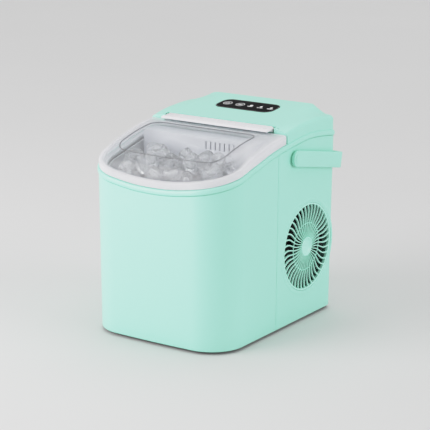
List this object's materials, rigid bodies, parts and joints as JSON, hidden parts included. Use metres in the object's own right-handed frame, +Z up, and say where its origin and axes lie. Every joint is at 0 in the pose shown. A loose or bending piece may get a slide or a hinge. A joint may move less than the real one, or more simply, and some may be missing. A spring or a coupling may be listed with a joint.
{
  "type": "countertop ice maker",
  "caption": "Countertop bullet-ice maker with rounded pastel shell, hinged clear lid over an ice basket, touch panel, side fan grille and swing-up carry handle",
  "frame": {"origin": "On the table plane, under the middle of the object's bounding box with the carry handle folded down", "axes": "+Z up; the front with the curved face and lid opening faces -Y, the carry handle folds down behind the back at +Y; +X is the side with the fan grille"},
  "size_m": [0.242, 0.301, 0.2944],
  "materials": {
    "mint_shell": "satin moulded mint-green ABS",
    "panel_black": "glossy black touch overlay with plain pale icons",
    "lens_white": "small translucent indicator window",
    "circuit_board": "green circuit board with components",
    "clear_lid": "clear moulded lid with a frosted edge",
    "frosted_white": "milky translucent plastic",
    "steel": "zinc-plated steel",
    "dark_plastic": "dark grey moulded plastic",
    "rubber_black": "black rubber",
    "tank_white": "smooth white food-grade plastic",
    "foam": "cellular insulation",
    "basket_clear": "pale translucent plastic",
    "nickel_plate": "nickel-plated copper",
    "motor_metal": "plated motor can",
    "soft_plug": "pale silicone",
    "clear_tube": "milky silicone tube",
    "compressor_black": "black enamelled steel",
    "fin_aluminium": "bare fin stack",
    "copper": "drawn copper"
  },
  "bodies": {
    "root": {"front_housing": "mint_shell", "rear_housing": "mint_shell", "top_cover": "mint_shell", "fan_grille": "mint_shell", "handle_pivot_right": "mint_shell", "handle_pivot_left": "mint_shell", "control_panel": "panel_black", "indicator_lens_left": "lens_white", "indicator_lens_middle": "lens_white", "indicator_lens_right": "lens_white", "control_board": "circuit_board", "power_board": "circuit_board", "base_screw_front_left": "steel", "base_screw_front_right": "steel", "base_screw_rear_left": "steel", "base_screw_rear_right": "steel", "base_pan": "dark_plastic", "water_pump": "dark_plastic", "fan_shroud": "dark_plastic", "ice_sensor_right": "dark_plastic", "ice_sensor_left": "dark_plastic", "foot_front_left": "rubber_black", "foot_front_right": "rubber_black", "foot_rear_left": "rubber_black", "foot_rear_right": "rubber_black", "compressor_mount_1": "rubber_black", "compressor_mount_2": "rubber_black", "compressor_mount_3": "rubber_black", "cord_gland": "rubber_black", "water_tank": "tank_white", "evaporator_hood": "tank_white", "tank_insulation": "foam", "evaporator": "nickel_plate", "tray_gear_motor": "motor_metal", "fan_motor": "motor_metal", "water_tube": "clear_tube", "compressor": "compressor_black", "condenser": "fin_aluminium", "discharge_pipe": "copper", "suction_pipe": "copper", "filter_drier": "copper"},
    "lid_assembly": {"lid": "clear_lid", "lid_hinge_strip": "frosted_white", "hinge_pin_right": "steel", "hinge_pin_left": "steel"},
    "handle": {"carry_handle": "mint_shell"},
    "power_key": {"power_button": "panel_black"},
    "select_key": {"select_button": "panel_black"},
    "basket": {"ice_basket": "basket_clear"},
    "tray": {"water_tray": "tank_white"},
    "shovel": {"ice_shovel": "tank_white"},
    "fan": {"fan_rotor": "dark_plastic"},
    "drain": {"drain_plug": "soft_plug"}
  },
  "joints": [
    {"name": "lid_hinge", "type": "hinge", "parent": "root", "child": "lid_assembly", "pos_m": [0, 0.0123, 0.2776], "axis": [-1, 0, 0], "range_deg": [0, 82]},
    {"name": "handle_swing", "type": "hinge", "parent": "root", "child": "handle", "pos_m": [0, 0.0261, 0.2384], "axis": [1, 0, 0], "range_deg": [0, 100]},
    {"name": "power_press", "type": "slide", "parent": "root", "child": "power_key", "axis": [0, 0.1177, -0.9931], "range_m": [0, 0.0004], "stiffness_N_per_m": 800, "springref_m": -0.0004},
    {"name": "select_press", "type": "slide", "parent": "root", "child": "select_key", "axis": [0, 0.1177, -0.9931], "range_m": [0, 0.0004], "stiffness_N_per_m": 800, "springref_m": -0.0004},
    {"name": "basket_lift", "type": "slide", "parent": "root", "child": "basket", "axis": [0, 0, 1], "range_m": [0, 0.004]},
    {"name": "tray_tilt", "type": "hinge", "parent": "root", "child": "tray", "pos_m": [0, -0.0089, 0.214], "axis": [1, 0, 0], "range_deg": [0, 42]},
    {"name": "shovel_sweep", "type": "hinge", "parent": "root", "child": "shovel", "pos_m": [0, -0.0343, 0.222], "axis": [-1, 0, 0], "range_deg": [0, 42]},
    {"name": "fan_spin", "type": "hinge", "parent": "root", "child": "fan", "pos_m": [0.0995, 0.0645, 0.1059], "axis": [1, 0, 0], "continuous": true},
    {"name": "drain_pull", "type": "slide", "parent": "root", "child": "drain", "axis": [-1, 0, 0], "range_m": [0, 0.012]}
  ],
  "couplings": [
    {"joint": "shovel_sweep", "follows": "tray_tilt", "ratio": 1}
  ]
}
